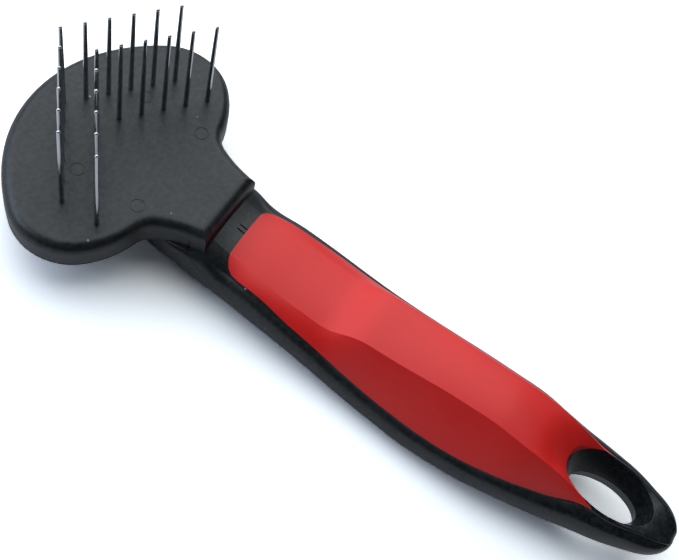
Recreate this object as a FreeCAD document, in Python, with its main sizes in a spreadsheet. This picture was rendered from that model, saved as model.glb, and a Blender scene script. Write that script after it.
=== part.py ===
import FreeCAD, Part
import math
import os

import Sketcher  # noqa: F401  the sketcher module registers Sketcher::SketchObject
from FreeCAD import Placement, Rotation, Vector

# Undercoat rake for pets: a moulded handle with a crescent head, a back cover that closes the
# head, a soft grip on the handle and two V rows of steel pins held in the head.
#
# Design frame, millimetres: origin on the head's face under the outer row's middle pin,
# +X across the head, +Y away from the handle, +Z along the pins.  At the end every sub-part
# gets one Placement that lays the rake on its back, on the plane z = 0.

doc = FreeCAD.newDocument("undercoat_rake")
sheet = doc.addObject("Spreadsheet::Sheet", "sizes")

# ---------------------------------------------------------------- driving dimensions
SIZES = [
    # pins
    ("pin_pitch", 4.5, "sideways step from pin to pin"),
    ("pin_steps", 5, "pins on each arm of a V, beside the middle one"),
    ("row_drop", 3.27, "how far each step of the V falls back towards the handle"),
    ("row_bend", 0.02, "extra fall, times the square of the step number"),
    ("row_gap", 9.8, "from the outer V to the inner V"),
    ("pin_reach", 27.4, "pin length above the face"),
    ("pin_root_radius", 0.7, "pin radius at the face"),
    ("pin_tip_radius", 0.45, "pin radius at the start of its round tip"),
    ("pin_head_radius", 1.5, "nail head that holds the pin under the face plate"),
    ("pin_head_depth", 1.0, "thickness of the nail head"),
    ("pin_hole_gap", 0.03, "radial gap between pin and hole"),
    # head
    ("face_plate", 3.0, "thickness of the plate that carries the pins"),
    ("head_depth", 8.1, "whole thickness of the head"),
    ("skirt_wall", 2.0, "wall of the head's skirt"),
    ("rim_round", 3.0, "rounding of the face's edge"),
    ("back_round", 1.0, "rounding of the back's edge"),
    ("head_front", 8.3, "front of the head's outline on the middle line"),
    ("front_radius", 36.5, "outline: front arc"),
    ("front_sweep", 29.4, "outline: half sweep of the front arc"),
    ("shoulder_radius", 44.0, "outline: shoulder arc"),
    ("shoulder_sweep", 23.4, "outline: shoulder arc"),
    ("lobe_radius", 15.3, "outline: lobe arc"),
    ("lobe_sweep", 84.9, "outline: lobe arc"),
    ("under_radius", 25.3, "outline: underside arc"),
    ("under_sweep", 28.7, "outline: underside arc"),
    ("throat_radius", 6.7, "outline: hollow arc into the neck"),
    ("throat_sweep", 50.5, "outline: hollow arc into the neck"),
    ("neck_radius", 34.0, "outline: hollow arc along the neck"),
    ("neck_sweep", 19.2, "outline: hollow arc along the neck"),
    # back cover
    ("cover_height", 1.2, "height of the cover's edge, up to the parting line"),
    ("parting_gap", 0.12, "gap along the parting line"),
    ("cover_end", 45.0, "where the parting line turns down on the neck"),
    ("cover_step", 7.3, "depth of that corner below the face"),
    ("cover_slope", 37.0, "fall of the parting line behind the corner, degrees"),
    ("tick_top", 4.0, "depth of the top of the short mark above that corner"),
    ("tick_width", 0.3, "width of that mark"),
    ("tick_half", 11.3, "distance of its bottom from the middle line"),
    ("rim_wall", 1.2, "locating rim inside the skirt: its wall"),
    ("rim_rise", 2.0, "locating rim inside the skirt: its height"),
    ("rim_gap", 0.15, "gap between rim and skirt"),
    ("root_sink", 0.4, "how far rim, ribs and pegs reach into the cover"),
    ("pad_width", 4.0, "rib that backs the nail heads"),
    ("peg_radius", 1.65, "peg of the cover"),
    ("peg_gap", 0.05, "radial gap round a peg in its socket"),
    ("peg_play", 0.2, "gap between a peg's end and its socket's floor"),
    ("socket_depth", 1.8, "blind socket in the face plate"),
    ("ring_groove", 0.14, "depth and width of the ring marks on the face"),
    ("front_peg_side", 13.5, "front pegs: distance from the middle line"),
    ("front_peg_back", 14.4, "front pegs: distance behind the origin"),
    ("rear_peg_side", 13.1, "rear pegs: distance from the middle line"),
    ("rear_peg_back", 31.3, "rear pegs: distance behind the origin"),
    # grip
    ("grip_start", 53.9, "front edge of the grip, behind the origin"),
    ("grip_corner", 4.5, "rounding of the grip's front corners"),
    ("grip_front_half", 10.6, "half width of the grip's front edge"),
    ("grip_wall", 2.2, "thickness of the soft grip"),
    ("crease_lift", 0.5, "grip's edge above the crease of the handle"),
    ("grip_side_step", 4.0, "plan: first stretch of the grip's side, outwards"),
    ("grip_side_run", 10.0, "plan: the same stretch, along the handle"),
    ("grip_tail", 2.5, "plan: the grip's end, in front of the hole's middle"),
    ("core_margin", 2.0, "grip's core starts this far behind its front edge"),
    ("core_tail", 6.0, "grip's core ends this far in front of the hole's middle"),
    ("ring_half_width", 7.8, "black ring round the hanging hole: half width"),
    ("ring_half_length", 12.8, "black ring round the hanging hole: half length"),
    # hanging hole
    ("hole_back", 161.0, "middle of the hanging hole, behind the origin"),
    ("hole_half_width", 4.8, "hanging hole, at its narrowest"),
    ("hole_half_length", 9.3, "hanging hole, at its narrowest"),
    ("hole_waist", 24.0, "depth of its narrowest place below the face"),
    ("hole_flare", 3.0, "how much wider it is at the top"),
    ("hole_top", 15.0, "depth of the flare's top below the face"),
    ("hole_below", 8.0, "from its waist to below the underside"),
    ("section_step", 4.205, "spacing of the sections of neck and handle"),
    ("dome_back", 163.38, "start of the dome that rounds off the end"),
    ("dome_length", 17.2, "length of the dome"),
    ("dome_middle", 23.4, "depth that the dome closes on"),
    ("dome_fullness", 0.8, "power of the dome's curve; 1 is an ellipse"),
    ("dome_sweep", 82.0, "how far round the dome the last section is, degrees"),
    # curves of the sections
    ("facet_bulge", 0.4, "how far the facets stand proud of flat"),
    ("shoulder_share", 0.15, "curve from crease to side: drop of its middle pole"),
    ("flank_share", 0.85, "curve from side to belly: drop of its second pole"),
    ("belly_share", 0.62, "curve from side to belly: half width of its third pole"),
    # moulding marks in front of the grip
    ("mark_length", 2.2, "length of each slit"),
    ("mark_width", 0.35, "width of each slit"),
    ("mark_pitch", 1.3, "distance between the two slits"),
    ("mark_depth", 0.4, "depth of the slits"),
    # rest
    ("rest_land", 0.22, "flat strip along the underside, as a share of the half width"),
    ("rest_tilt", 6.33, "turn that lays the rake on its back, degrees"),
]

for row, (alias, value, note) in enumerate(SIZES, start=1):
    sheet.set(f"A{row}", alias)
    sheet.set(f"B{row}", str(value))
    sheet.setAlias(f"B{row}", alias)
    sheet.set(f"C{row}", note)

# Sections of neck and handle, each at a distance behind the origin, from the head to the end.
# All heights are depths below the head's face.  crown: top on the middle line; ridge: half
# width and depth of the ridge; crease: half width and depth of the crease where the grip ends;
# side: half width and depth of the widest place; belly: underside on the middle line.
SECTION_WORDS = ["back", "crown", "ridge_half", "ridge", "crease_half", "crease",
                 "side_half", "side", "belly"]
SECTIONS = [
    (12.0, 4.0, 3.0, 4.2, 4.5, 5.2, 5.0, 6.5, 8.4),
    (24.0, 3.0, 5.0, 3.4, 9.7, 6.4, 10.1, 7.7, 15.2),
    (36.0, 2.5, 6.0, 3.0, 12.9, 7.0, 13.5, 7.9, 20.6),
    (40.0, 2.1, 6.3, 2.7, 12.9, 7.1, 13.6, 8.0, 21.5),
    (44.0, 2.6, 6.5, 3.2, 12.4, 7.4, 13.6, 10.0, 22.0),
    (48.0, 4.6, 7.0, 5.2, 11.9, 7.6, 13.5, 12.6, 22.2),
    (50.5, 5.4, 7.0, 6.0, 11.6, 7.9, 13.5, 13.4, 22.3),
    (52.5, 6.0, 7.0, 6.7, 11.2, 8.9, 13.5, 14.0, 22.3),
    (55.0, 6.7, 7.0, 7.6, 10.7, 9.9, 13.5, 14.6, 22.4),
    (62.0, 7.5, 7.6, 8.5, 11.6, 10.5, 13.9, 16.2, 22.6),
    (72.0, 8.9, 8.2, 10.0, 12.3, 12.6, 14.5, 18.0, 22.8),
    (82.0, 9.7, 8.3, 10.9, 12.8, 15.0, 14.9, 20.2, 24.5),
    (92.0, 6.9, 7.6, 7.8, 13.4, 17.4, 15.5, 22.3, 26.4),
    (103.0, 6.5, 7.5, 7.5, 14.2, 19.2, 16.1, 24.0, 28.3),
    (115.0, 6.2, 7.1, 7.2, 14.7, 20.2, 16.6, 25.0, 29.8),
    (127.0, 6.5, 7.0, 7.5, 14.4, 20.1, 16.3, 25.0, 30.2),
    (137.0, 8.4, 7.3, 9.0, 13.2, 19.2, 15.4, 24.1, 29.5),
    (143.0, 11.0, 7.2, 10.5, 11.8, 19.1, 14.4, 24.4, 29.4),
    (149.0, 16.0, 7.0, 12.7, 10.2, 18.8, 13.3, 24.6, 29.2),
    (156.0, 20.5, 7.0, 15.9, 8.2, 17.7, 12.0, 24.3, 28.8),
    (164.0, 20.0, 6.8, 17.4, 7.8, 18.2, 10.6, 24.0, 28.3),
    (172.0, 18.4, 5.6, 17.9, 6.4, 18.5, 9.4, 23.7, 28.5),
    (182.0, 18.0, 4.6, 17.8, 6.0, 18.6, 9.4, 23.6, 28.8),
]

for index, section in enumerate(SECTIONS):
    for column, (word, value) in enumerate(zip(SECTION_WORDS, section)):
        cell = f"{chr(ord('E') + column)}{index + 1}"
        sheet.set(cell, str(value))
        sheet.setAlias(cell, f"{word}_{index}")
doc.recompute()


def size(alias):
    """Value of a sheet cell."""
    return float(sheet.get(alias))


def bind(obj, prop, expression):
    """Bind a property to the sheet: the names after '#' are cell aliases."""
    obj.setExpression(prop, expression.replace("#", "sizes."))


# ---------------------------------------------------------------- small builders
def new_body(name):
    return doc.addObject("PartDesign::Body", name)


def origin_plane(body, role):
    return next(f for f in body.Origin.OriginFeatures if f.Role == role)


def new_sketch(body, name, role, lift=None):
    """Sketch on one of the body's origin planes, moved along its normal by a sheet formula."""
    sketch = body.newObject("Sketcher::SketchObject", name)
    sketch.AttachmentSupport = [(origin_plane(body, role), "")]
    sketch.MapMode = "FlatFace"
    if lift:
        bind(sketch, "AttachmentOffset.Base.z", lift)
    return sketch


def pad(body, name, sketch, length, reverse=False, both=False):
    feature = body.newObject("PartDesign::Pad", name)
    feature.Profile = sketch
    bind(feature, "Length", length)
    feature.Reversed = reverse
    feature.Midplane = both
    body.Tip = feature
    return feature


def boolean(kind, name, *shapes):
    """Part::Cut of two objects, or Part::MultiFuse / Part::MultiCommon of several."""
    feature = doc.addObject(kind, name)
    if kind == "Part::Cut":
        feature.Base, feature.Tool = shapes
    else:
        feature.Shapes = list(shapes)
    return feature


def closed_polygon(sketch, points):
    for start, end in zip(points, points[1:] + points[:1]):
        sketch.addGeometry(Part.LineSegment(Vector(*start, 0), Vector(*end, 0)), False)


def circle(sketch, centre, radius_formula):
    """Circle whose radius is bound to the sheet."""
    number = sketch.addGeometry(Part.Circle(Vector(*centre, 0), Vector(0, 0, 1), 1.0), False)
    constraint = sketch.addConstraint(Sketcher.Constraint("Radius", number, 1.0))
    bind(sketch, f"Constraints[{constraint}]", radius_formula)
    return number


def spline(points):
    curve = Part.BSplineCurve()
    curve.interpolate([Vector(*p, 0) for p in points])
    return curve


def bezier(*poles):
    curve = Part.BezierCurve()
    curve.setPoles([Vector(*p, 0) for p in poles])
    return curve.toBSpline()


# ---------------------------------------------------------------- head outline
CRESCENT_ARCS = [("front", 1), ("shoulder", 1), ("lobe", 1), ("under", 1)]
HEAD_ARCS = CRESCENT_ARCS + [("throat", -1), ("neck", -1)]


def head_outline(sketch, inset=0.0, arcs=HEAD_ARCS):
    """Crescent outline: a chain of tangent arcs from the front to the neck, and its mirror."""
    x, y, heading = 0.0, size("head_front") - inset, 0.0
    for word, bend in arcs:
        radius = size(f"{word}_radius") - bend * inset
        sweep = math.radians(size(f"{word}_sweep"))
        centre = (x + bend * radius * math.sin(heading), y - bend * radius * math.cos(heading))

        def on_arc(turn):
            angle = heading - bend * turn
            return (centre[0] - bend * radius * math.sin(angle),
                    centre[1] + bend * radius * math.cos(angle))

        points = [on_arc(0.0), on_arc(sweep / 2), on_arc(sweep)]
        for mirror in (1, -1):
            ends = [Vector(mirror * px, py, 0) for px, py in points]
            sketch.addGeometry(Part.Arc(*ends), False)
        x, y = points[-1]
        heading -= bend * sweep
    sketch.addGeometry(Part.LineSegment(Vector(x, y, 0), Vector(-x, y, 0)), False)


def edges_at(shape, height, tolerance=1e-4):
    """Names of the edges that lie at one height."""
    return [f"Edge{n}" for n, edge in enumerate(shape.Edges, start=1)
            if abs(edge.BoundBox.ZMin - height) < tolerance
            and abs(edge.BoundBox.ZMax - height) < tolerance]


# ---------------------------------------------------------------- head block
head_block = new_body("head_block")
outline = new_sketch(head_block, "head_block_outline", "XY_Plane")
head_outline(outline)
slab = pad(head_block, "head_block_slab", outline, "#head_depth", reverse=True)
doc.recompute()
rim = head_block.newObject("PartDesign::Fillet", "head_block_rim")
rim.Base = (slab, edges_at(slab.Shape, 0.0))
bind(rim, "Radius", "#rim_round")
head_block.Tip = rim
doc.recompute()
back_edge = head_block.newObject("PartDesign::Fillet", "head_block_back_edge")
back_edge.Base = (rim, edges_at(rim.Shape, -size("head_depth")))
bind(back_edge, "Radius", "#back_round")
head_block.Tip = back_edge


# ---------------------------------------------------------------- neck and handle envelope
def smooth_value(word, back):
    """Value of one section word at a distance behind the origin, by a monotone cubic."""
    places = [size(f"back_{row}") for row in range(len(SECTIONS))]
    values = [size(f"{word}_{row}") for row in range(len(SECTIONS))]
    steps = [b - a for a, b in zip(places, places[1:])]
    slopes = [(b - a) / step for a, b, step in zip(values, values[1:], steps)]

    def tangent(row):
        if row == 0 or row == len(slopes):
            return slopes[min(row, len(slopes) - 1)]
        before, after = slopes[row - 1], slopes[row]
        return 0.0 if before * after <= 0 else 2 * before * after / (before + after)

    row = max(n for n in range(len(steps)) if places[n] <= back or n == 0)
    t = (back - places[row]) / steps[row]
    return ((1 + 2 * t) * (1 - t) ** 2 * values[row]
            + t * (1 - t) ** 2 * steps[row] * tangent(row)
            + t * t * (3 - 2 * t) * values[row + 1]
            + t * t * (t - 1) * steps[row] * tangent(row + 1))


straight_count = round((size("dome_back") - size("back_0")) / size("section_step"))


def dome_turn(number):
    """Angle round the end's dome of a section, in degrees: 0 before the dome."""
    return max(0, number - straight_count) * math.degrees(size("section_step") / size("dome_length"))


def section_curves(back, inset=0.0, shrink=1.0):
    """Closed section: crown, facets, shoulders, flanks and belly, in the sketch's x and y.
    shrink draws the section in towards the middle of the end's dome."""
    crown, ridge_half, ridge, crease_half, crease, side_half, side, belly = (
        smooth_value(word, back) for word in SECTION_WORDS[1:])
    ridge_half, crease_half, side_half = (
        shrink * half for half in (ridge_half, crease_half, side_half))
    crown, ridge, crease, side, belly = (
        size("dome_middle") + shrink * (depth - size("dome_middle"))
        for depth in (crown, ridge, crease, side, belly))
    ridge_half, crease_half = ridge_half - inset / 2, crease_half - inset
    crown, ridge = crown + inset, ridge + inset
    facet_bulge, shoulder_share = size("facet_bulge"), size("shoulder_share")
    flank_share, belly_share = size("flank_share"), size("belly_share")
    land_half = size("rest_land") * side_half
    curves = [bezier((-ridge_half, -ridge), (0, ridge - 2 * crown), (ridge_half, -ridge))]
    for mirror in (1, -1):
        facet_middle = (mirror * ((ridge_half + crease_half) / 2 + facet_bulge),
                        -(ridge + crease) / 2 + facet_bulge)
        flank = [(mirror * side_half, -side),
                 (mirror * side_half, -side - flank_share * (belly - side)),
                 (mirror * belly_share * side_half, -belly),
                 (mirror * land_half, -belly)]
        curves.append(bezier((mirror * ridge_half, -ridge), facet_middle,
                             (mirror * crease_half, -crease)))
        curves.append(bezier((mirror * crease_half, -crease),
                             (mirror * side_half, -crease - shoulder_share * (side - crease)),
                             (mirror * side_half, -side)))
        curves.append(bezier(*flank))
    curves.append(bezier((-land_half, -belly), (land_half, -belly)))
    return curves


def loft_body(name, first, last, inset=0.0):
    """Loft through evenly spaced sections, numbered from the first section of the handle."""
    body = new_body(name)
    sketches = []
    for number in range(first, last + 1):
        turn = dome_turn(number)
        back = size("back_0") + number * size("section_step")
        place = f"#back_0 + {number} * #section_step"
        if turn > 0:
            back = size("dome_back") + size("dome_length") * math.sin(math.radians(turn))
            place = f"#dome_back + #dome_length * sin({turn} deg)"
        sketch = new_sketch(body, f"{name}_section_{number}", "XZ_Plane", place)
        shrink = math.cos(math.radians(turn)) ** size("dome_fullness")
        for curve in section_curves(back, inset, shrink):
            sketch.addGeometry(curve, False)
        sketches.append(sketch)
    doc.recompute()
    loft = body.newObject("PartDesign::AdditiveLoft", f"{name}_loft")
    loft.Profile = sketches[0]
    loft.Sections = sketches[1:]
    loft.Ruled = False
    body.Tip = loft
    doc.recompute()
    return body


dome_count = round(size("dome_sweep") / dome_turn(straight_count + 1))
envelope = loft_body("envelope", 0, straight_count + dome_count)


# ---------------------------------------------------------------- hanging hole
def ellipse_wire_sketch(body, name, lift, half_width, half_length):
    """Ellipse round the hanging hole's middle, its long axis along the handle."""
    sketch = new_sketch(body, name, "XY_Plane", lift)
    centre = Vector(0, -size("hole_back"), 0)
    far_end = centre + Vector(0, half_length, 0)
    side_end = centre + Vector(half_width, 0, 0)
    sketch.addGeometry(Part.Ellipse(far_end, side_end, centre), False)
    return sketch


hole_tool = new_body("hole_tool")
half_width, half_length = size("hole_half_width"), size("hole_half_length")
flare = size("hole_flare")
hole_rings = [
    ("-#hole_top", half_width + flare, half_length + 1.5 * flare),
    ("-#hole_waist", half_width, half_length),
    ("-#hole_waist - #hole_below", half_width + flare / 2, half_length + flare / 2),
]
hole_sketches = [ellipse_wire_sketch(hole_tool, f"hole_ring_{n}", lift, wide, long)
                 for n, (lift, wide, long) in enumerate(hole_rings)]
doc.recompute()
hole_loft = hole_tool.newObject("PartDesign::AdditiveLoft", "hole_loft")
hole_loft.Profile = hole_sketches[0]
hole_loft.Sections = hole_sketches[1:]
hole_loft.Ruled = True
hole_tool.Tip = hole_loft

# ---------------------------------------------------------------- grip zone: side and plan
SIDE_REACH = 40.0      # wider than the whole rake
CLEAR_ABOVE = 10.0     # above every surface of the handle
CLEAR_BELOW = -40.0    # below every surface of the handle
CLEAR_FRONT = 20.0     # in front of the head
ZONE_MARGIN = 2.0      # how far the grip's side view runs past its ends


def crease_point(back):
    """Point of the grip's lower edge in side view: a little above the crease."""
    return -back, -smooth_value("crease", back) + size("crease_lift")


grip_side = new_body("grip_side_zone")
side_sketch = new_sketch(grip_side, "grip_side_outline", "YZ_Plane")
zone_start = size("grip_start") - ZONE_MARGIN
zone_end = size("hole_back") + ZONE_MARGIN
creases = [section[0] for section in SECTIONS if zone_start < section[0] < size("hole_back")]
front = crease_point(zone_start)
rear = crease_point(zone_end)
edge_line = [front, *(crease_point(back) for back in creases), rear]
side_sketch.addGeometry(spline(edge_line), False)
above_front, above_rear = (front[0], CLEAR_ABOVE), (rear[0], CLEAR_ABOVE)
for start, end in ((front, above_front), (above_front, above_rear), (above_rear, rear)):
    side_sketch.addGeometry(Part.LineSegment(Vector(*start, 0), Vector(*end, 0)), False)
pad(grip_side, "grip_side_block", side_sketch, str(2 * SIDE_REACH), both=True)

grip_plan = new_body("grip_plan_zone")
plan_sketch = new_sketch(grip_plan, "grip_plan_outline", "XY_Plane")


def plan_outline(sketch):
    """Grip seen from above: straight front edge with round corners, open sides, and an
    elliptic notch round the hanging hole's ring."""
    start, corner, half = size("grip_start"), size("grip_corner"), size("grip_front_half")
    tail = size("hole_back") - size("grip_tail")
    diagonal = corner * (1 - math.sqrt(0.5))
    front_ends = [Vector(side * (half - corner), -start, 0) for side in (-1, 1)]
    sketch.addGeometry(Part.LineSegment(*front_ends), False)
    notch_half, notch_length = size("ring_half_width"), size("ring_half_length")
    hole_y = -size("hole_back")
    notch_x = notch_half * math.sqrt(1 - ((hole_y + tail) / notch_length) ** 2)
    corner_y = -start - corner
    wide_y = corner_y - size("grip_side_run")
    for mirror in (1, -1):
        sketch.addGeometry(Part.Arc(Vector(mirror * (half - corner), -start, 0),
                                    Vector(mirror * (half - diagonal), -start - diagonal, 0),
                                    Vector(mirror * half, corner_y, 0)), False)
        path = [(mirror * half, corner_y), (mirror * (half + size("grip_side_step")), wide_y),
                (mirror * SIDE_REACH, wide_y), (mirror * SIDE_REACH, -tail),
                (mirror * notch_x, -tail)]
        for begin, end in zip(path, path[1:]):
            sketch.addGeometry(Part.LineSegment(Vector(*begin, 0), Vector(*end, 0)), False)
    ellipse = Part.Ellipse(Vector(0, hole_y + notch_length, 0), Vector(notch_half, hole_y, 0),
                           Vector(0, hole_y, 0))
    first = ellipse.parameter(Vector(notch_x, -tail, 0))
    last = ellipse.parameter(Vector(-notch_x, -tail, 0))
    arc = Part.ArcOfEllipse(ellipse, first, last)
    middle = arc.value((arc.FirstParameter + arc.LastParameter) / 2)
    if middle.y < -tail:
        arc = Part.ArcOfEllipse(ellipse, last, first)
    sketch.addGeometry(arc, False)


plan_outline(plan_sketch)
pad(grip_plan, "grip_plan_block", plan_sketch, str(3 * SIDE_REACH), both=True)
doc.recompute()



def section_number(back):
    """Number of the section at a distance behind the origin, with its fraction."""
    return (back - size("back_0")) / size("section_step")


first_core = math.ceil(section_number(size("grip_start") + size("core_margin")))
last_core = math.floor(section_number(size("hole_back") - size("core_tail")))
grip_core = loft_body("grip_core", first_core, last_core, inset=size("grip_wall"))

# ---------------------------------------------------------------- back cover zone
def cover_zone_body(name, gap):
    """Space of the cover: below the parting line, which turns down on the neck's side and
    falls to the underside.  gap grows it."""
    body = new_body(name)
    sketch = new_sketch(body, f"{name}_outline", "YZ_Plane")
    top = -(size("head_depth") - size("cover_height")) + gap
    end = -size("cover_end") - gap
    step = -size("cover_step")
    fall = math.tan(math.radians(size("cover_slope")))
    slope_end = end - (step - CLEAR_BELOW) / fall
    closed_polygon(sketch, [(CLEAR_FRONT, top), (end, top), (end, step),
                            (slope_end, CLEAR_BELOW), (CLEAR_FRONT, CLEAR_BELOW)])
    pad(body, f"{name}_block", sketch, str(2 * SIDE_REACH), both=True)
    return body


cover_zone = cover_zone_body("cover_zone", 0.0)
cover_space = cover_zone_body("cover_space", size("parting_gap"))

# ---------------------------------------------------------------- head cavity
cavity = new_body("head_cavity")
cavity_sketch = new_sketch(cavity, "cavity_outline", "XY_Plane", "-#face_plate")
head_outline(cavity_sketch, size("skirt_wall"), CRESCENT_ARCS)
pad(cavity, "cavity_block", cavity_sketch, "#head_depth - #cover_height - #face_plate",
    reverse=True)


# ---------------------------------------------------------------- pins, pegs and their holes
def pin_places():
    """Name and foot of every pin: two V rows, each a middle pin and two arms."""
    places = []
    for row_name, start in (("outer", 0.0), ("inner", -size("row_gap"))):
        for step in range(-int(size("pin_steps")), int(size("pin_steps")) + 1):
            fall = size("row_drop") * abs(step) + size("row_bend") * step ** 2
            side = "middle" if step == 0 else f"{'right' if step > 0 else 'left'}_{abs(step)}"
            places.append((f"pin_{row_name}_{side}", (size("pin_pitch") * step, start - fall)))
    return places


PINS = pin_places()
PEGS = [(side * size(f"{word}_peg_side"), -size(f"{word}_peg_back"))
        for word in ("front", "rear") for side in (-1, 1)]

OVERCUT = 1.0          # how far a cutter stands clear of the surface it cuts

hole_drill = new_body("pin_hole_drill")
drill_sketch = new_sketch(hole_drill, "pin_hole_circles", "XY_Plane", str(OVERCUT))
for _, foot in PINS:
    circle(drill_sketch, foot, "#pin_root_radius + #pin_hole_gap")
pad(hole_drill, "pin_hole_rods", drill_sketch, f"#face_plate + {2 * OVERCUT}", reverse=True)

socket_drill = new_body("socket_drill")
socket_sketch = new_sketch(socket_drill, "socket_circles", "XY_Plane",
                           f"-#face_plate - {OVERCUT}")
for peg in PEGS:
    circle(socket_sketch, peg, "#peg_radius + #peg_gap")
pad(socket_drill, "socket_rods", socket_sketch, f"#socket_depth + {OVERCUT}")

ring_cutter = new_body("ring_mark_cutter")
ring_sketch = new_sketch(ring_cutter, "ring_mark_circles", "XY_Plane", "-#ring_groove")
for peg in PEGS:
    circle(ring_sketch, peg, "#peg_radius")
    circle(ring_sketch, peg, "#peg_radius + #ring_groove")
pad(ring_cutter, "ring_mark_rings", ring_sketch, "2 * #ring_groove")

mark_cutter = new_body("gate_mark_cutter")
mark_floor = -smooth_value("crown", size("grip_start")) - size("mark_depth")
mark_sketch = new_sketch(mark_cutter, "gate_mark_slits", "XY_Plane", str(mark_floor))
for side in (-1, 1):
    middle = side * size("mark_pitch") / 2
    near, far = middle - size("mark_width") / 2, middle + size("mark_width") / 2
    back = -size("grip_start")
    front = back + size("mark_length")
    closed_polygon(mark_sketch, [(near, back), (far, back), (far, front), (near, front)])
pad(mark_cutter, "gate_mark_blades", mark_sketch, str(CLEAR_ABOVE))

tick_cutter = new_body("parting_tick_cutter")
tick_sketch = new_sketch(tick_cutter, "parting_tick_slits", "XY_Plane", "-#cover_step")
for side in (-1, 1):
    near, far = side * size("tick_half"), side * SIDE_REACH
    back = -size("cover_end") - size("tick_width")
    closed_polygon(tick_sketch, [(near, back), (far, back), (far, -size("cover_end")),
                                 (near, -size("cover_end"))])
pad(tick_cutter, "parting_tick_blades", tick_sketch, "#cover_step - #tick_top")

# ---------------------------------------------------------------- cover: rim, ribs and pegs
parting = "-#head_depth + #cover_height"
cover_rim = new_body("cover_rim")
rim_sketch = new_sketch(cover_rim, "cover_rim_outline", "XY_Plane", parting + " - #root_sink")
rim_inset = size("skirt_wall") + size("rim_gap")
head_outline(rim_sketch, rim_inset, CRESCENT_ARCS)
head_outline(rim_sketch, rim_inset + size("rim_wall"), CRESCENT_ARCS)
pad(cover_rim, "cover_rim_wall", rim_sketch, "#rim_rise + #root_sink")


def rib_outline(sketch, row_start):
    """V-shaped band that follows one row of pins."""
    half = size("pad_width") / 2
    steps = int(size("pin_steps"))
    arm = size("pin_pitch") * steps
    fall = size("row_drop") * steps + size("row_bend") * steps ** 2
    end_x = arm + half
    end_y = row_start - fall * end_x / arm
    upper = [(-end_x, end_y + half), (0.0, row_start + half), (end_x, end_y + half)]
    lower = [(x, y - 2 * half) for x, y in reversed(upper)]
    closed_polygon(sketch, upper + lower)


cover_ribs = []
for row_name, row_start in (("outer", 0.0), ("inner", -size("row_gap"))):
    rib = new_body(f"cover_rib_{row_name}")
    rib_sketch = new_sketch(rib, f"cover_rib_{row_name}_outline", "XY_Plane", parting + " - #root_sink")
    rib_outline(rib_sketch, row_start)
    pad(rib, f"cover_rib_{row_name}_block", rib_sketch,
        "#head_depth - #cover_height - #face_plate - #pin_head_depth + #root_sink")
    cover_ribs.append(rib)

cover_pegs = new_body("cover_pegs")
peg_sketch = new_sketch(cover_pegs, "cover_peg_circles", "XY_Plane", parting + " - #root_sink")
for peg in PEGS:
    circle(peg_sketch, peg, "#peg_radius")
pad(cover_pegs, "cover_peg_rods", peg_sketch,
    "#head_depth - #cover_height - #face_plate + #socket_depth - #peg_play + #root_sink")
doc.recompute()

# ---------------------------------------------------------------- the three big pieces
whole = boolean("Part::MultiFuse", "whole_moulding", head_block, envelope)
drilled = boolean("Part::Cut", "whole_with_hole", whole, hole_tool)
grip_blank = boolean("Part::MultiCommon", "grip_blank", drilled, grip_side, grip_plan)
grip_shell = boolean("Part::Cut", "grip_shell", grip_blank, grip_core)
without_grip = boolean("Part::Cut", "handle_without_grip", drilled, grip_shell)
handle_tools = boolean("Part::MultiFuse", "handle_tools", cover_space, cavity)
shell = boolean("Part::Cut", "handle_shell", without_grip, handle_tools)
fine_tools = doc.addObject("Part::Compound", "fine_tools")
fine_tools.Links = [hole_drill, socket_drill, ring_cutter, mark_cutter, tick_cutter]
handle_cut = boolean("Part::Cut", "handle_cut", shell, fine_tools)
cover_blank = boolean("Part::MultiCommon", "cover_blank", whole, cover_zone)
cover_cut = boolean("Part::MultiFuse", "cover_cut", cover_blank, cover_rim, *cover_ribs, cover_pegs)


def finished(name, source):
    """A sub-part of its own, made from a construction object."""
    feature = doc.addObject("Part::Refine", name)
    feature.Source = source
    return feature


sub_parts = [finished("handle_body", handle_cut), finished("back_cover", cover_cut),
             finished("grip", grip_shell)]


# ---------------------------------------------------------------- pins
def pin_body(name):
    """Nail-headed pin, turned about its own axis: head, straight root, taper, round tip."""
    body = new_body(name)
    sketch = new_sketch(body, f"{name}_profile", "XZ_Plane")
    plate, head = size("face_plate"), size("pin_head_depth")
    head_radius, root, tip = size("pin_head_radius"), size("pin_root_radius"), size("pin_tip_radius")
    reach = size("pin_reach")
    corners = [(0, reach), (0, -plate - head), (head_radius, -plate - head), (head_radius, -plate),
               (root, -plate), (root, 0), (tip, reach - tip)]
    for start, end in zip(corners, corners[1:]):
        sketch.addGeometry(Part.LineSegment(Vector(*start, 0), Vector(*end, 0)), False)
    slant = tip * math.sqrt(0.5)
    sketch.addGeometry(Part.Arc(Vector(tip, reach - tip, 0),
                                Vector(slant, reach - tip + slant, 0),
                                Vector(0, reach, 0)), False)
    turn = body.newObject("PartDesign::Revolution", f"{name}_turn")
    turn.Profile = sketch
    turn.ReferenceAxis = (sketch, ["V_Axis"])
    turn.Angle = 360.0
    body.Tip = turn
    return body


pins = [(pin_body(name), foot) for name, foot in PINS]
doc.recompute()

# ---------------------------------------------------------------- rest pose
# The rake lies on its back: it is turned about X until the neck's keel and the handle's belly
# touch the same plane.  The middle of its box goes to the origin, its lowest point to z = 0.
rest_turn = Rotation(Vector(1, 0, 0), -size("rest_tilt"))


def lay_down(shift):
    for part in sub_parts:
        part.Placement = Placement(shift, rest_turn)
    for body, foot in pins:
        body.Placement = Placement(shift + rest_turn.multVec(Vector(*foot, 0)), rest_turn)


def overall_box():
    box = FreeCAD.BoundBox()
    for part in sub_parts + [body for body, _ in pins]:
        box.add(part.Shape.optimalBoundingBox(False, False))
    return box


lay_down(Vector(0, 0, 0))
box = overall_box()
lay_down(Vector(-box.Center.x, -box.Center.y, -box.ZMin))

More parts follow.
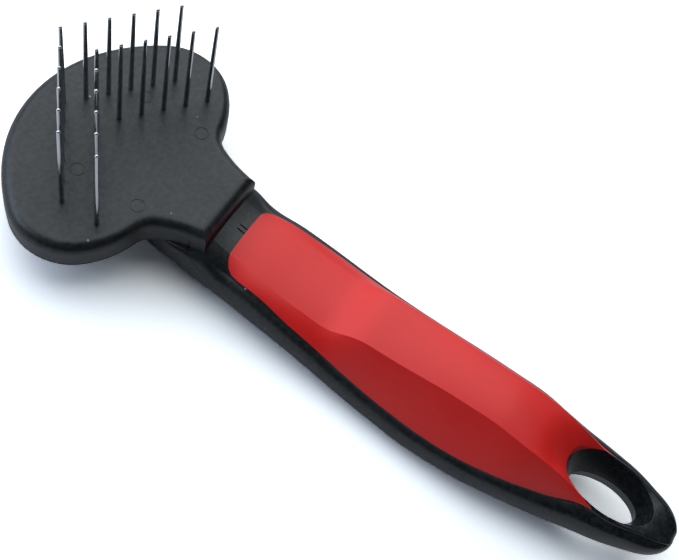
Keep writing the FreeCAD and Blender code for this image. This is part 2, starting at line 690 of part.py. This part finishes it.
# ---------------------------------------------------------------- checks and files
for obj in doc.Objects:
    if "Invalid" in obj.State or "Error" in obj.State:
        raise RuntimeError(f"{obj.Name} failed: {obj.State}")

os.makedirs("parts", exist_ok=True)
for part in sub_parts + [body for body, _ in pins]:
    part.Label = part.Name
    shape = part.Shape
    if shape.isNull() or not shape.isValid() or len(shape.Solids) != 1:
        raise RuntimeError(f"{part.Label}: {len(shape.Solids)} solids, valid {shape.isValid()}")
    shape.exportStep(f"parts/{part.Label}.step")

box = overall_box()
overall = f"{box.XLength:.1f} x {box.YLength:.1f} x {box.ZLength:.1f} mm"
print(f"{len(sub_parts) + len(pins)} sub-parts, {overall}")
for part in sub_parts:
    low = part.Shape.optimalBoundingBox(False, False)
    print(f"{part.Label}: volume {part.Shape.Volume:.0f} mm3, lowest point {low.ZMin:.2f} mm")
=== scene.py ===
# %% [markdown]
# # An undercoat rake
#
# The object is a small rake for combing loose hair out of a dog's coat. It has
# 22 steel pins in a black plastic head, and a black handle with a red rubber
# grip moulded into it. The solid model already has every shape and size, so
# this lesson loads it, gives each surface its finish, and sets up the picture.

# %% Load the solid model
import math

import bpy
from mathutils import Matrix, Vector


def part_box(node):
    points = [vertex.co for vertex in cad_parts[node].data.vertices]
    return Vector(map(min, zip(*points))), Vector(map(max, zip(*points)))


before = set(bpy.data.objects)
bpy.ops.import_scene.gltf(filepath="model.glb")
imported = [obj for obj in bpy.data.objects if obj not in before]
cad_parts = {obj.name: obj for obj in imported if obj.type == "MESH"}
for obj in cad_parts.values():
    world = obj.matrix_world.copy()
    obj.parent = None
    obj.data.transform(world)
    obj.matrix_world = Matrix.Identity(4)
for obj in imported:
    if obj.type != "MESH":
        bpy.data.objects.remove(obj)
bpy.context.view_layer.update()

MM = 0.001

# %% [markdown]
# ## Which piece is which
#
# Each real piece is a node of its own: the moulded handle with its head, the
# cover that closes the head from behind, the soft grip, and every pin. Printing
# their boxes first is a quick way to see that all of them have arrived, and how
# long each one is.

# %% List the pieces
for name in sorted(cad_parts):
    low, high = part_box(name)
    print(name, [round((b - a) / MM, 1) for a, b in zip(low, high)], "mm")

# %% [markdown]
# ## The head's own directions
#
# The rake lies on its back, so its head leans: the flat face with the pins
# isn't level with the table. The camera is easier to place in the head's own
# directions, so this cell works out a turned set of axes. The lean and the
# pin's length are the ones the solid model is made with. The origin is where
# the middle pin of the outer row leaves the face, found from the ball at that
# pin's tip, which touches the sides of the pin's box whatever the lean.

# %% The head's own axes
LEAN = math.radians(6.33)
PIN_UP = Vector((0, math.sin(LEAN), math.cos(LEAN)))
PIN_REACH = 27.4 * MM
TIP_RADIUS = 0.45 * MM

tip_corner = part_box("pin_outer_middle")[1]
tip_ball = Vector((0, tip_corner.y - TIP_RADIUS, tip_corner.z - TIP_RADIUS))
face_origin = tip_ball - PIN_UP * (PIN_REACH - TIP_RADIUS)
head_axes = Matrix.Translation(face_origin) @ Matrix.Rotation(-LEAN, 4, "X")
print("face origin:", [round(value / MM, 2) for value in face_origin], "mm")

# %% [markdown]
# ## Colours
#
# A paint chart or a colour picker gives sRGB hex values, while a shader works
# with linear light. One function turns the first into the second, so every
# colour below can be read as an ordinary hex code.

# %% Hex to linear
def linear(hex_colour):
    channels = [int(hex_colour[i:i + 2], 16) / 255 for i in (1, 3, 5)]
    return tuple(
        c / 12.92 if c <= 0.04045 else ((c + 0.055) / 1.055) ** 2.4 for c in channels
    ) + (1.0,)


print("mid grey is", round(linear("#808080")[0], 3), "in linear light")

# %% [markdown]
# ## One helper for all nodes
#
# A material is a small graph of nodes. Writing each one out takes four or five
# lines, so one helper adds a node, fills in its settings and joins its inputs.
# A second starts an empty material.

# %% Add a node, start a material
def add(tree, kind, settings=None, links=None):
    """Add one node; settings fill its options and sockets, links join its inputs."""
    node = tree.nodes.new(kind)
    for key, value in (settings or {}).items():
        if isinstance(key, str) and hasattr(node, key):
            setattr(node, key, value)
        else:
            node.inputs[key].default_value = value
    for key, source in (links or {}).items():
        tree.links.new(source, node.inputs[key])
    return node


def new_material(name):
    material = bpy.data.materials.new(name)
    material.use_nodes = True
    material.node_tree.nodes.clear()
    return material, material.node_tree


def two_tone(tree, pattern, dark, light):
    """Colour that drifts from dark to light with a noise pattern."""
    ramp = add(tree, "ShaderNodeValToRGB", None, {"Fac": pattern})
    for stop, position, colour in zip(ramp.color_ramp.elements, (0.3, 0.7), (dark, light)):
        stop.position = position
        stop.color = linear(colour)
    return ramp.outputs["Color"]


# %% [markdown]
# ## The black plastic
#
# Head, cover and handle look injection moulded, and polypropylene is a usual
# plastic for such tools, so this material is named for it. Their moulds are often
# spark eroded, which leaves a very fine grain and a satin gloss. The end round
# the hanging hole is shinier, so the roughness falls along the handle.
# Such a grain is about 0.1 mm. That is too fine to see, so it is drawn
# at 0.6 mm, with a faint mottle of 1.2 mm in the colour and a slow drift of
# gloss over 14 mm. A few pale specks of dust lie on it, as on any dark plastic.
# Polypropylene has an index of refraction of 1.49. The black is nearly all gloss
# and hardly any colour: the grey that the eye sees on top is the studio's light.

# %% Moulded black polypropylene
PLASTIC_GRAIN = 0.6 * MM
PLASTIC_MOTTLE = 1.2 * MM
PLASTIC_DRIFT = 14 * MM
BUMP_HEIGHT = 0.03 * MM
SPECK_SPACING = 6 * MM
SPECK_SHARE = 0.045      # radius of a speck, as a share of the spacing
POLISH_START_Y, POLISH_FULL_Y = -50 * MM, -75 * MM


def black_plastic():
    material, tree = new_material("moulded_polypropylene_black")
    place = add(tree, "ShaderNodeTexCoord").outputs["Object"]
    grain = add(tree, "ShaderNodeTexNoise",
                {"Scale": 1 / PLASTIC_GRAIN, "Detail": 3.0, "Roughness": 0.6},
                {"Vector": place}).outputs["Fac"]
    cloud = add(tree, "ShaderNodeTexNoise", {"Scale": 1 / PLASTIC_DRIFT, "Detail": 3.0},
                {"Vector": place}).outputs["Fac"]
    cells = add(tree, "ShaderNodeTexVoronoi", {"Scale": 1 / SPECK_SPACING},
                {"Vector": place}).outputs["Distance"]
    speck = add(tree, "ShaderNodeMath", {"operation": "LESS_THAN", 1: SPECK_SHARE}, {0: cells})
    mottle = add(tree, "ShaderNodeTexNoise", {"Scale": 1 / PLASTIC_MOTTLE, "Detail": 4.0},
                 {"Vector": place}).outputs["Fac"]
    black = two_tone(tree, mottle, "#0c0e10", "#24282a")
    # A Mix node has sockets for every type of value: 6, 7 and output 2 are the colour ones.
    colour = add(tree, "ShaderNodeMix", {"data_type": "RGBA", 7: linear("#84888c")},
                 {0: speck.outputs[0], 6: black})
    satin = add(tree, "ShaderNodeMapRange",
                {"From Min": 0.3, "From Max": 0.7, "To Min": 0.34, "To Max": 0.42},
                {"Value": cloud})
    along = add(tree, "ShaderNodeSeparateXYZ", None, {"Vector": place})
    polish = add(tree, "ShaderNodeMapRange",
                 {"From Min": POLISH_START_Y, "From Max": POLISH_FULL_Y,
                  "To Min": 0.0, "To Max": 0.14},
                 {"Value": along.outputs["Y"]})
    roughness = add(tree, "ShaderNodeMath", {"operation": "SUBTRACT"},
                    {0: satin.outputs["Result"], 1: polish.outputs["Result"]})
    bump = add(tree, "ShaderNodeBump", {"Strength": 0.7, "Distance": BUMP_HEIGHT},
               {"Height": grain})
    shader = add(tree, "ShaderNodeBsdfPrincipled", {"IOR": 1.49},
                 {"Base Color": colour.outputs[2],
                  "Roughness": roughness.outputs[0],
                  "Normal": bump.outputs["Normal"]})
    add(tree, "ShaderNodeOutputMaterial", None, {"Surface": shader.outputs["BSDF"]})
    return material


plastic = black_plastic()
print(plastic.name, len(plastic.node_tree.nodes), "nodes")

# %% [markdown]
# ## The red rubber
#
# The grip looks like a thermoplastic elastomer, moulded over the handle so that
# it sits flush with the plastic round it. Soft rubber scatters light and has only a
# broad, weak shine, which gives the eye a velvety red. Its fine
# texture is drawn at 0.5 mm for the same reason as the plastic's grain. Handling
# leaves it a little uneven, so colour and gloss drift over about 18 mm.

# %% Overmoulded elastomer
RUBBER_GRAIN = 0.5 * MM
RUBBER_DRIFT = 18 * MM


def red_rubber():
    material, tree = new_material("overmoulded_elastomer_red")
    place = add(tree, "ShaderNodeTexCoord").outputs["Object"]
    grain = add(tree, "ShaderNodeTexNoise", {"Scale": 1 / RUBBER_GRAIN, "Detail": 3.0},
                {"Vector": place}).outputs["Fac"]
    cloud = add(tree, "ShaderNodeTexNoise", {"Scale": 1 / RUBBER_DRIFT, "Detail": 3.0},
                {"Vector": place}).outputs["Fac"]
    red = two_tone(tree, cloud, "#e01c19", "#e82622")
    velvet = add(tree, "ShaderNodeMapRange",
                 {"From Min": 0.3, "From Max": 0.7, "To Min": 0.4, "To Max": 0.48},
                 {"Value": cloud})
    bump = add(tree, "ShaderNodeBump", {"Strength": 0.5, "Distance": BUMP_HEIGHT},
               {"Height": grain})
    shader = add(tree, "ShaderNodeBsdfPrincipled", {"IOR": 1.5},
                 {"Base Color": red,
                  "Roughness": velvet.outputs["Result"],
                  "Normal": bump.outputs["Normal"]})
    add(tree, "ShaderNodeOutputMaterial", None, {"Surface": shader.outputs["BSDF"]})
    return material


rubber = red_rubber()
print(rubber.name, len(rubber.node_tree.nodes), "nodes")

# %% [markdown]
# ## The steel pins
#
# Pins like these are usually stainless steel wire, ground to a taper and tumbled
# smooth, so that they don't scratch the skin. Polished metal has no colour of its own: it
# mirrors the black head below and the bright lights above, and that is why a
# pin looks black on one side and white on the other. Tumbling leaves tiny flat
# spots, drawn here as gloss that changes every 1.5 mm, and drawing the wire
# leaves faint lines along it.

# %% Tumbled stainless steel
STEEL_SPOT = 1.5 * MM
STEEL_LINE = 0.2 * MM
LINE_STRETCH = 20


def tumbled_steel():
    material, tree = new_material("tumbled_stainless_steel")
    place = add(tree, "ShaderNodeTexCoord").outputs["Object"]
    spots = add(tree, "ShaderNodeTexNoise", {"Scale": 1 / STEEL_SPOT, "Detail": 2.0},
                {"Vector": place}).outputs["Fac"]
    squeezed = add(tree, "ShaderNodeMapping", {"Scale": (1.0, 1.0, 1 / LINE_STRETCH)},
                   {"Vector": place})
    lines = add(tree, "ShaderNodeTexNoise", {"Scale": 1 / STEEL_LINE, "Detail": 1.0},
                {"Vector": squeezed.outputs["Vector"]}).outputs["Fac"]
    steel_grey = two_tone(tree, spots, "#c3c6c9", "#cfd2d5")
    gloss = add(tree, "ShaderNodeMapRange",
                {"From Min": 0.3, "From Max": 0.7, "To Min": 0.1, "To Max": 0.2},
                {"Value": spots})
    bump = add(tree, "ShaderNodeBump", {"Strength": 0.1, "Distance": 0.01 * MM},
               {"Height": lines})
    shader = add(tree, "ShaderNodeBsdfPrincipled", {"Metallic": 1.0},
                 {"Base Color": steel_grey,
                  "Roughness": gloss.outputs["Result"],
                  "Normal": bump.outputs["Normal"]})
    add(tree, "ShaderNodeOutputMaterial", None, {"Surface": shader.outputs["BSDF"]})
    return material


steel = tumbled_steel()
print(steel.name, len(steel.node_tree.nodes), "nodes")

# %% [markdown]
# ## Dress the pieces
#
# The solid model's surfaces already carry every shape, so no piece is added or
# replaced. Each only needs its material, and smooth shading so that the rounded
# edges catch the light in one unbroken line.

# %% Give each piece its finish
for name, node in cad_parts.items():
    if name.startswith("pin"):
        chosen = steel
    elif name == "grip":
        chosen = rubber
    else:
        chosen = plastic
    node.data.materials.clear()
    node.data.materials.append(chosen)
    node.data.shade_smooth()
    print(name, len(node.data.polygons), "faces,", chosen.name)

# %% [markdown]
# ## The table
#
# A product is often shown on a sheet of white paper that is lit until it is
# pure white. A big plane stands for the paper. The camera sees it brighter
# than the rake does, like a sheet that is lit on its own; otherwise
# it would throw too much light on to the underside of the rake. Further out,
# where the softboxes don't reach, the paper glows, so that it meets the white
# background without a horizon.

# %% White paper
TABLE_SIZE = 6
TABLE_DROP = 0.05 * MM             # keeps the paper just clear of the rake
GLOW_START, GLOW_FULL = 0.2, 0.4   # metres from the middle of the table
PAPER_FIBRE = 3 * MM
SEEN_WHITE = 1.8                   # brighter than white: an overexposed sheet
bpy.ops.mesh.primitive_plane_add(size=TABLE_SIZE, location=(0, 0, -TABLE_DROP))
table = bpy.context.object
table.name = "table"

paper, tree = new_material("table_paper_white")
place = add(tree, "ShaderNodeTexCoord").outputs["Object"]
fibres = add(tree, "ShaderNodeTexNoise", {"Scale": 1 / PAPER_FIBRE, "Detail": 2.0},
             {"Vector": place}).outputs["Fac"]
outwards = add(tree, "ShaderNodeVectorMath", {"operation": "LENGTH"}, {0: place})
far = add(tree, "ShaderNodeMapRange",
          {"From Min": GLOW_START, "From Max": GLOW_FULL, "To Min": 0.0, "To Max": 1.0},
          {"Value": outwards.outputs["Value"]})
seen = add(tree, "ShaderNodeBsdfDiffuse", {"Color": (SEEN_WHITE, SEEN_WHITE, SEEN_WHITE, 1.0)})
lit = add(tree, "ShaderNodeBsdfDiffuse", None,
          {"Color": two_tone(tree, fibres, "#dcdcde", "#e2e2e4")})
glow = add(tree, "ShaderNodeEmission", {"Color": (1, 1, 1, 1), "Strength": 1.0})
spread = add(tree, "ShaderNodeMixShader", None,
             {0: far.outputs["Result"], 1: seen.outputs[0], 2: glow.outputs[0]})
ray = add(tree, "ShaderNodeLightPath")
mixed = add(tree, "ShaderNodeMixShader", None,
            {0: ray.outputs["Is Camera Ray"], 1: lit.outputs[0], 2: spread.outputs[0]})
add(tree, "ShaderNodeOutputMaterial", None, {"Surface": mixed.outputs[0]})
table.data.materials.append(paper)
print("table", TABLE_SIZE, "m square")

# %% [markdown]
# ## The studio
#
# The rake stands in a dim room: the background that lights it is almost dark,
# and only the camera sees it white. That leaves the near side of the rounded
# head dark, which draws its edge. Two softboxes do the rest. A large one hangs
# over the far side and gives the flat face its even grey sheen and the grip its
# highlight. A smaller and slightly blue one, in front of the head, lights the
# head's outer edge.

# %% Dim room
ROOM_LIGHT = 0.05
world = bpy.data.worlds.new("studio")
bpy.context.scene.world = world
world.use_nodes = True
sky = world.node_tree
sky.nodes.clear()
dark = add(sky, "ShaderNodeBackground", {"Color": linear("#c9d4dc"), "Strength": ROOM_LIGHT})
pale = add(sky, "ShaderNodeBackground", {"Color": (1, 1, 1, 1), "Strength": 1.0})
ray = add(sky, "ShaderNodeLightPath")
choice = add(sky, "ShaderNodeMixShader", None,
             {0: ray.outputs["Is Camera Ray"], 1: dark.outputs[0], 2: pale.outputs[0]})
add(sky, "ShaderNodeOutputWorld", None, {"Surface": choice.outputs[0]})
print("room light:", ROOM_LIGHT)

# %% Softboxes
CENTRE = Vector((0, 0, 15 * MM))    # about the middle of the rake


def direction(azimuth, elevation):
    """Unit vector towards a place in the room, from angles in degrees."""
    a, e = math.radians(azimuth), math.radians(elevation)
    return Vector((math.sin(a) * math.cos(e), -math.cos(a) * math.cos(e), math.sin(e)))


def softbox(name, azimuth, elevation, distance, size, radiance, tint):
    """Rectangle of light that faces the rake; radiance is how bright it looks."""
    light = bpy.data.lights.new(name, "AREA")
    light.shape = "RECTANGLE"
    light.size, light.size_y = size
    light.energy = radiance * math.pi * size[0] * size[1]
    light.color = linear(tint)[:3]
    lamp = bpy.data.objects.new(name, light)
    bpy.context.scene.collection.objects.link(lamp)
    out = direction(azimuth, elevation)
    lamp.location = CENTRE + out * distance
    lamp.rotation_euler = (-out).to_track_quat("-Z", "Y").to_euler()
    lamp.visible_camera = False
    print(name, round(light.energy, 2), "W")


softbox("softbox_overhead", 127, 55, 0.7, (1.1, 1.25), 1.78, "#f4fbff")
softbox("softbox_front", 198, 25, 0.8, (0.7, 0.5), 3.1, "#dceaff")

# %% [markdown]
# ## The camera
#
# The camera looks down on the rake from its left, from fairly close, so the
# head looks larger than the far end of the handle. It is rolled, which lays the
# handle across the picture from corner to corner. Its place is given
# in the head's own axes, as an aim point on the handle, two angles and a distance.

# %% Place the camera
AZIMUTH, ELEVATION = -78.144, 59.694
AIM = Vector((-1.168, -79.954, 0.0)) * MM
DISTANCE = 260.785 * MM
ROLL = math.radians(21.876)

camera_data = bpy.data.cameras.new("camera")
camera_data.lens = 59.15
camera_data.sensor_width = 36
camera_data.clip_start = 0.01
camera_data.clip_end = 20
camera = bpy.data.objects.new("camera", camera_data)
bpy.context.scene.collection.objects.link(camera)
bpy.context.scene.camera = camera

back = direction(AZIMUTH, ELEVATION)
level = (-back).cross(Vector((0, 0, 1))).normalized()
right = math.cos(ROLL) * level + math.sin(ROLL) * back.cross(level)
turn = Matrix((right, back.cross(right), back)).transposed()
camera.matrix_world = head_axes @ Matrix.Translation(AIM + back * DISTANCE) @ turn.to_4x4()
bpy.context.scene.view_settings.view_transform = "Standard"
print("camera:", [round(value / MM, 1) for value in camera.matrix_world.translation], "mm")
